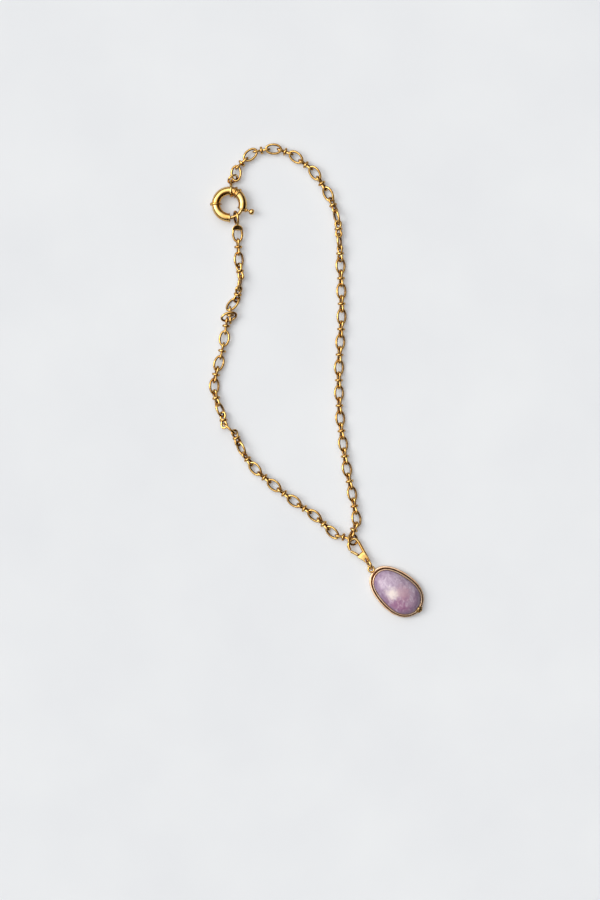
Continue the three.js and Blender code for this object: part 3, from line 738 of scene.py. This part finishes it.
clipFrame = axesOf(clip)
spine = openCurve(np.column_stack([clipSpine, np.zeros(len(clipSpine))]), clip["steps"])
alongSpine = np.linspace(0, 1, len(spine))
pointed = np.sqrt(1 - np.clip((alongSpine - clip["pointFrom"]) / clip["point"], 0, 1) ** 2)
rooted = 1 + clip["root"] * np.exp(-((alongSpine / clip["rootLength"]) ** 2))
spineSection = (clip["wire"] * pointed * rooted)[:, None, None] * roundSection(clip["sides"], 1)
spineGrid = carried(spine, [0, 0, 1], spineSection, closed=False)
holeAt = np.array([clipHole["u"], clipHole["v"]])
footEdge = closedCurve(clipFoot, footSteps["round"]) - holeAt
holeEdge = clipHole["radius"] * footEdge / np.linalg.norm(footEdge, axis=1, keepdims=True)
footShare, footHeight = openCurve(footSection, footSteps["over"]).T
footGrid = holeAt + holeEdge + footShare[:, None, None] * (footEdge - holeEdge)
footLevels = np.broadcast_to(footHeight[:, None, None], footGrid.shape[:2] + (1,))
footGrid = np.concatenate([footGrid, footLevels], -1)
clipSkins = [skin(placed(spineGrid, clipFrame)), skin(placed(footGrid, clipFrame), closed=True)]
newPiece("clip_wire", clipSkins, [gold], node="clip_body")
gateAt = placed([*gate["from"], 0], clipFrame)
gateFrame = frameAt(gateAt, placed([*gate["to"], 0], clipFrame) - gateAt, 0)
gateAlong, gateRadius = openCurve(gateProfile, gate["steps"]).T
gateSkin = turned(gateAlong, gateRadius, gateFrame, gate["sides"])
newPiece("clip_gate_bar", [gateSkin], [gold], body="clip_gate", node="clip_gate")
newPiece("clip_link_wire", [torus(clipLink, axesOf(clipLink))], [gold], node="clip_link")
print("clip made")

# The pendant: an egg outline whose half-width grows towards the far end. The bezel's section is turned
# round it from the outer foot over the rim, down into the groove and up over the lip that holds the stone.
# In the finish column, 1 is the groove's finish: tarnish plus painted shade.
bezelSection = [  # inset from the outline, height, finish of the band that follows: 0 rose gold, 1 its recess
    (0.3, 0, 0), (0.06, 0.2, 0), (0, 0.6, 0), (0, 2.0, 0), (0.03, 2.28, 0), (0.1, 2.47, 0), (0.24, 2.57, 0),
    (0.44, 2.6, 0), (0.64, 2.57, 0), (0.75, 2.46, 0), (0.8, 2.2, 1), (0.88, 1.86, 1), (1.03, 1.74, 1),
    (1.18, 1.86, 1), (1.25, 2.2, 1), (1.29, 3.4, 0), (1.33, 3.74, 0), (1.43, 3.93, 0), (1.62, 4.0, 0),
    (1.8, 3.95, 0), (1.89, 3.78, 0), (1.92, 3.4, 0), (1.92, 1.2, 0),
]
# The cup and the stone stand this far from the clip, so the rim narrows towards the far end: the slide
# grows with the inset, from one value over another, above the foot.
cup = {"slide": 0.45, "from": 0.1, "over": 0.75, "foot": 0.1}
pendantLoop = {"x": 27.6, "y": -94.6, "z": 2.88, "radius": 1.45, "wire": 0.5}
lug = {
    "u": 14.2, "v": 0.4, "z": 2.65, "size": (1.7, 2.0, 2.0), "ripple": 0.12, "waves": (5, 3, 3, -6),
    "rows": 33, "sides": 48,
}
stone = {"inset": 2.02, "bottom": 1.4, "chamfer": 0.3, "girdle": 3.3, "top": 9, "steps": 30, "crease": 60}
bezelCrease = 50  # degrees, so that the groove's turned edges stay soft

eggTurn = circle(pendant["steps"])
farther = np.cos(eggTurn)
eggWidth = pendant["halfWidth"] + pendant["lopsided"] * farther + pendant["full"] * farther**2
eggWidth = eggWidth - pendant["drawnIn"] * farther**5
egg = np.stack([pendant["halfLength"] * farther, eggWidth * np.sin(eggTurn)], -1)
eggReach = np.linalg.norm(egg, axis=1, keepdims=True)
eggFrame = frameAt([pendant["x"], pendant["y"], 0], flat(pendant["heading"]), 0)


# A solid turned round the egg: each row is the outline times a share, less an inset, slid along, at a height.
def eggRows(shares, insets, heights, slides):
    rows = egg * (np.asarray(shares)[:, None, None] - np.asarray(insets)[:, None, None] / eggReach)
    rows = rows + np.asarray(slides)[:, None, None] * [1, 0]
    heights = np.broadcast_to(np.asarray(heights)[:, None, None], rows.shape[:2] + (1,))
    return placed(np.concatenate([rows, heights], -1), eggFrame)


rimInset, rimHeight, rimFinish = np.array(bezelSection).T
rimSlide = cup["slide"] * np.clip((rimInset - cup["from"]) / cup["over"], 0, 1) * (rimHeight > cup["foot"])
rimGrid = eggRows(np.ones(len(rimInset)), rimInset, rimHeight, rimSlide)
# The lug: a ball squashed to its size, its surface rippled by a sine wave times a cosine wave.
lat, lon = np.linspace(-np.pi / 2, np.pi / 2, lug["rows"])[:, None], circle(lug["sides"])
firstWave = np.sin(lug["waves"][0] * lon + lug["waves"][1] * lat)
secondWave = np.cos(lug["waves"][2] * lon + lug["waves"][3] * lat)
ripple = 1 + lug["ripple"] * np.cos(lat) * firstWave * secondWave
ball = np.stack([np.cos(lat) * np.cos(lon), np.cos(lat) * np.sin(lon), np.sin(lat) + 0 * lon], -1)
lugGrid = placed(ball * ripple[..., None] * lug["size"] + [lug["u"], lug["v"], lug["z"]], eggFrame)
loopSkin = {**torus(pendantLoop, frameAt(spot(pendantLoop), [1, 0, 0], 0)), "bands": 2}
bezelSkins = [skin(rimGrid, bands=rimFinish[:-1].astype(int)), skin(lugGrid, bands=3), loopSkin]
newPiece("pendant_bezel_rim", bezelSkins, [roseGold, shadedRecessGold, gold, wornGold],
         node="pendant_bezel", sharp=bezelCrease)
# The stone: a chamfered foot, and a dome whose rows shrink by the cosine and rise by the sine of a quarter.
dome = np.linspace(0, np.pi / 2, stone["steps"])
domeShares = np.concatenate([[1, 1], np.cos(dome)])
domeInsets = np.concatenate([
    [stone["inset"] + stone["chamfer"], stone["inset"]],
    stone["inset"] * np.cos(dome),
])
domeHeights = np.concatenate([
    [stone["bottom"], stone["bottom"] + stone["chamfer"]],
    stone["girdle"] + (stone["top"] - stone["girdle"]) * np.sin(dome),
])
domeGrid = eggRows(domeShares, domeInsets, domeHeights, np.full(len(domeShares), cup["slide"]))

# Milky amethyst, cut as a cabochon and polished on felt: a soft shine over a lilac body that glows a
# little within, mauve at the outer edge, drifting white veils and a few sparks. Painted light on it: greyer
# on the right, away from the lamp, and darker towards the girdle and on the lower-left edge, as painted
# shade;
# a pale heart near the dome's top, left of centre, as a painted highlight, partly the stone's own pale
# centre.
# Places and sizes are in mm from the girdle's middle.
stoneLook = {"rough": 0.3, "refraction": 1.544, "glow": 0.12, "glowDepth": 2.0, "glowTint": (1.0, 0.75, 1.0)}
stoneTones = {
    "lilac": "#b9a3b7", "mauve": "#a67494", "greyShade": "#b39caf", "edge": "#74547a", "highlightHeart": "#f1e4da",
    "blush": "#c39ca5", "veil": "#dccfda", "spark": "#ffffff",
}
stoneClouds = {
    "clouds": {"size": 1.6, "detail": 4.0, "distortion": 0.6, "stretch": (1, 1, 1)},
    "drift": {"size": 4.0, "detail": 4.0, "distortion": 0.9, "stretch": (1, 1, 1)},
    "veils": {"size": 2.4, "detail": 3.5, "distortion": 1.0, "stretch": (1.4, 0.8, 1.0)},
}
stoneSides = {  # each grows along its direction over a length, made ragged by one of the clouds
    "outer": {"direction": (0.25, -0.97, 0), "length": 9.0, "by": "clouds", "ragged": 1.3},
    # far greys the right side, away from the lamp: painted shade.
    "far": {"direction": (0.95, 0.3, 0), "length": 9.0, "by": "drift", "ragged": 1.6},
    # near lays the edge tone on the lower-left edge: painted shade, as under a light from the upper left.
    "near": {"direction": (-0.85, -0.5, 0), "length": 9.0, "by": "clouds", "ragged": 0.5},
}
stoneSpots = {
    # The pale heart at the dome's top, left of centre: a painted highlight, partly the stone's own pale
    # centre.
    "highlightHeart": {"place": (-2.5, -1.2, 5.7), "size": 3.9, "ragged": 1.3},
    "blush": {"place": (2.6, -0.4, 5.0), "size": 4.6, "ragged": 1.3},
}
# The girdle's darkening lays the edge tone round the stone's foot by the bezel: painted shade.
girdleLook = {"insets": (2.4, 1.4), "ragged": 0.4}
sparkSize = 1.1
stoneLayers = [  # from the lowest: its tone, the value that it follows from low to high, its greatest share
    {"tone": "mauve", "by": "outer", "low": -0.25, "high": 0.75, "most": 0.95},
    {"tone": "greyShade", "by": "far", "low": 0.05, "high": 0.8, "most": 0.8},
    {"tone": "edge", "by": "veils", "low": 0.5, "high": 0.3, "most": 0.4},
    {"tone": "veil", "by": "veils", "low": 0.48, "high": 0.7, "most": 0.6},
    {"tone": "edge", "by": "girdle", "low": 0.75, "high": 1.35, "most": 0.65},
    {"tone": "edge", "by": "near", "low": 0.42, "high": 0.85, "most": 0.5},
    {"tone": "blush", "by": "blush", "low": 0.5, "high": -0.4, "most": 0.6},
    {"tone": "highlightHeart", "by": "highlightHeart", "low": 0.5, "high": -0.5, "most": 0.85},
    {"tone": "spark", "by": "sparks", "low": 0.1, "high": 0.04, "most": 0.5},
]


# The value of each name that a layer follows.
def stoneValues(tree, at):
    values = {}
    for name, look in stoneClouds.items():
        here = workedOn(tree, "MULTIPLY", {1: look["stretch"]}, {0: at}).outputs[0]
        values[name] = noise(tree, here, look["size"], look["detail"], look["distortion"])
    # A side: the dot product with its direction over the length, plus its cloud less a half times the ragged.
    for name, look in stoneSides.items():
        direction = (unit(look["direction"]) / (look["length"] * millimetre)).tolist()
        along = workedOn(tree, "DOT_PRODUCT", {1: direction}, {0: at}).outputs["Value"]
        centred = worked(tree, "SUBTRACT", {1: 0.5}, {0: values[look["by"]]})
        values[name] = worked(tree, "MULTIPLY_ADD", {1: look["ragged"]}, {0: centred, 2: along})
    # A spot: the distance from its place over the size, less the clouds times the ragged.
    for name, look in stoneSpots.items():
        place = (np.array(look["place"]) * millimetre).tolist()
        reach = workedOn(tree, "DISTANCE", {1: place}, {0: at}).outputs["Value"]
        share = worked(tree, "DIVIDE", {1: look["size"] * millimetre}, {0: reach})
        values[name] = worked(tree, "MULTIPLY_ADD", {1: -look["ragged"]}, {0: values["clouds"], 2: share})
    # The girdle: the sum of the squares of the egg's own shares, plus the clouds times the ragged.
    squares = []
    for i, half in enumerate((pendant["halfLength"], pendant["halfWidth"])):
        direction = (eggFrame["axes"][i] / ((half - girdleLook["insets"][i]) * millimetre)).tolist()
        share = workedOn(tree, "DOT_PRODUCT", {1: direction}, {0: at}).outputs["Value"]
        squares.append(worked(tree, "MULTIPLY", {}, {0: share, 1: share}))
    outward = worked(tree, "ADD", {}, {0: squares[0], 1: squares[1]})
    feeds = {0: values["clouds"], 2: outward}
    values["girdle"] = worked(tree, "MULTIPLY_ADD", {1: girdleLook["ragged"]}, feeds)
    constants = {"Scale": 1 / (sparkSize * millimetre)}
    grains = addNode(tree, "ShaderNodeTexVoronoi", {}, constants, {"Vector": at})
    values["sparks"] = grains.outputs["Distance"]
    return values


amethyst, stoneTree, stoneAt = newMaterial("polished milky amethyst")
stoneMiddle = np.array([pendant["x"], pendant["y"], stone["girdle"]]) + home
stoneAt = workedOn(stoneTree, "SUBTRACT", {1: (stoneMiddle * millimetre).tolist()}, {0: stoneAt}).outputs[0]
stoneValue = stoneValues(stoneTree, stoneAt)
stoneColour = addNode(stoneTree, "ShaderNodeRGB").outputs[0]
stoneColour.default_value = colour(stoneTones["lilac"])
for layer in stoneLayers:
    amount = eased(stoneTree, stoneValue[layer["by"]], layer["low"], layer["high"], 0.0, layer["most"])
    stoneColour = laidOver(stoneTree, stoneColour, stoneTones[layer["tone"]], amount)
surfaced(stoneTree, {
    "Roughness": stoneLook["rough"], "IOR": stoneLook["refraction"], "Subsurface Weight": stoneLook["glow"],
    "Subsurface Radius": stoneLook["glowTint"], "Subsurface Scale": stoneLook["glowDepth"] * millimetre,
}, {"Base Color": stoneColour})
newPiece("pendant_stone_dome", [skin(domeGrid)], [amethyst], node="pendant_stone",
         sharp=stone["crease"])
print("pendant made")

# The table: a sheet of matte acrylic over a light, rolled smooth, pale with a faint mottle. It lies a hair
# lower than the part's back, because a few wires reach that far down.
floorLook = {
    "dim": "#cbced1", "bright": "#d0d3d5", "dimAt": 0.3, "brightAt": 0.7, "patch": 60.0, "rough": 0.85,
    "light": "#fcfcfd", "glow": 0.17, "halfMetres": 3.0, "drop": 0.2,
}
board, boardTree, boardAt = newMaterial("matte light-table sheet")
mottle = noise(boardTree, boardAt, floorLook["patch"], 3.0)
boardStops = [(floorLook["dimAt"], floorLook["dim"]), (floorLook["brightAt"], floorLook["bright"])]
surfaced(boardTree, {
    "Roughness": floorLook["rough"], "Emission Color": colour(floorLook["light"]),
    "Emission Strength": floorLook["glow"],
}, {"Base Color": ramp(boardTree, mottle, boardStops)})
boardCorners = np.array([[-1, -1, 0], [1, -1, 0], [1, 1, 0], [-1, 1, 0]]) * floorLook["halfMetres"]
boardCorners = boardCorners - [0, 0, floorLook["drop"] * millimetre]
boardMesh = bpy.data.meshes.new("table")
boardMesh.from_pydata(boardCorners.tolist(), [], [(0, 1, 2, 3)])
boardMesh.materials.append(board)
table = newObject("table", boardMesh)

# The light tent: by the value -0.85 x + 0.5 y of the direction the sky is bright on the left and top, half
# bright overhead and a dim warm brown on the right, and it dims towards the horizon. One wide soft light
# from the left casts the shadows.
tent = {
    "across": (-0.85, 0.5, 0.0), "from": -0.5, "to": 0.5,
    "low": 0.3, "high": 0.95, "strength": 2.6, "dim": 0.04,  # the height's range, and the dimmest share
}
tentStops = [(0.0, "#241708"), (0.3, "#66563f"), (0.5, "#bfc1c6"), (0.72, "#e6eaf0"), (1.0, "#ffffff")]
softbox = {"direction": (-0.74, 0.12, 0.7), "wide": 34.0, "power": 1.3, "tint": "#fffbf6"}
world = bpy.data.worlds.new("light tent")
bpy.context.scene.world = world
world.use_nodes = True
skyTree = world.node_tree
skyTree.nodes.clear()
sight = addNode(skyTree, "ShaderNodeTexCoord").outputs["Generated"]
leftward = workedOn(skyTree, "DOT_PRODUCT", {1: tent["across"]}, {0: sight}).outputs["Value"]
skyPlace = eased(skyTree, leftward, tent["from"], tent["to"], 0.0, 1.0, "LINEAR")
upward = addNode(skyTree, "ShaderNodeSeparateXYZ", {}, {}, {"Vector": sight}).outputs["Z"]
leastSky = tent["dim"] * tent["strength"]
skyPower = eased(skyTree, upward, tent["low"], tent["high"], leastSky, tent["strength"])
skyColour = ramp(skyTree, skyPlace, tentStops)
sky = addNode(skyTree, "ShaderNodeBackground", {}, {}, {"Color": skyColour, "Strength": skyPower})
addNode(skyTree, "ShaderNodeOutputWorld", {}, {}, {"Surface": sky.outputs["Background"]})
lamp = bpy.data.lights.new("softbox", "SUN")
lamp.angle = np.radians(softbox["wide"])
lamp.energy = softbox["power"]
lamp.color = colour(softbox["tint"])[:3]
lampStand = newObject("softbox", lamp)
lampStand.location = unit(softbox["direction"])
lampStand.rotation_euler = lampStand.location.to_track_quat("Z", "Y").to_euler()

# The camera looks straight down from a height, and its lens takes in the span along the layout's Y.
view = {"x": -8, "y": -35, "z": 3, "height": 1200, "span": 450, "sensor": 36}
lens = bpy.data.cameras.new("overhead")
lens.sensor_width = view["sensor"]
lens.lens = lens.sensor_width * view["height"] / view["span"]
overhead = newObject("overhead", lens)
overhead.location = ((spot(view) + [0, 0, view["height"]] + home) * millimetre).tolist()
bpy.context.scene.camera = overhead
bpy.context.scene.view_settings.view_transform = "Standard"
print("stage lit")
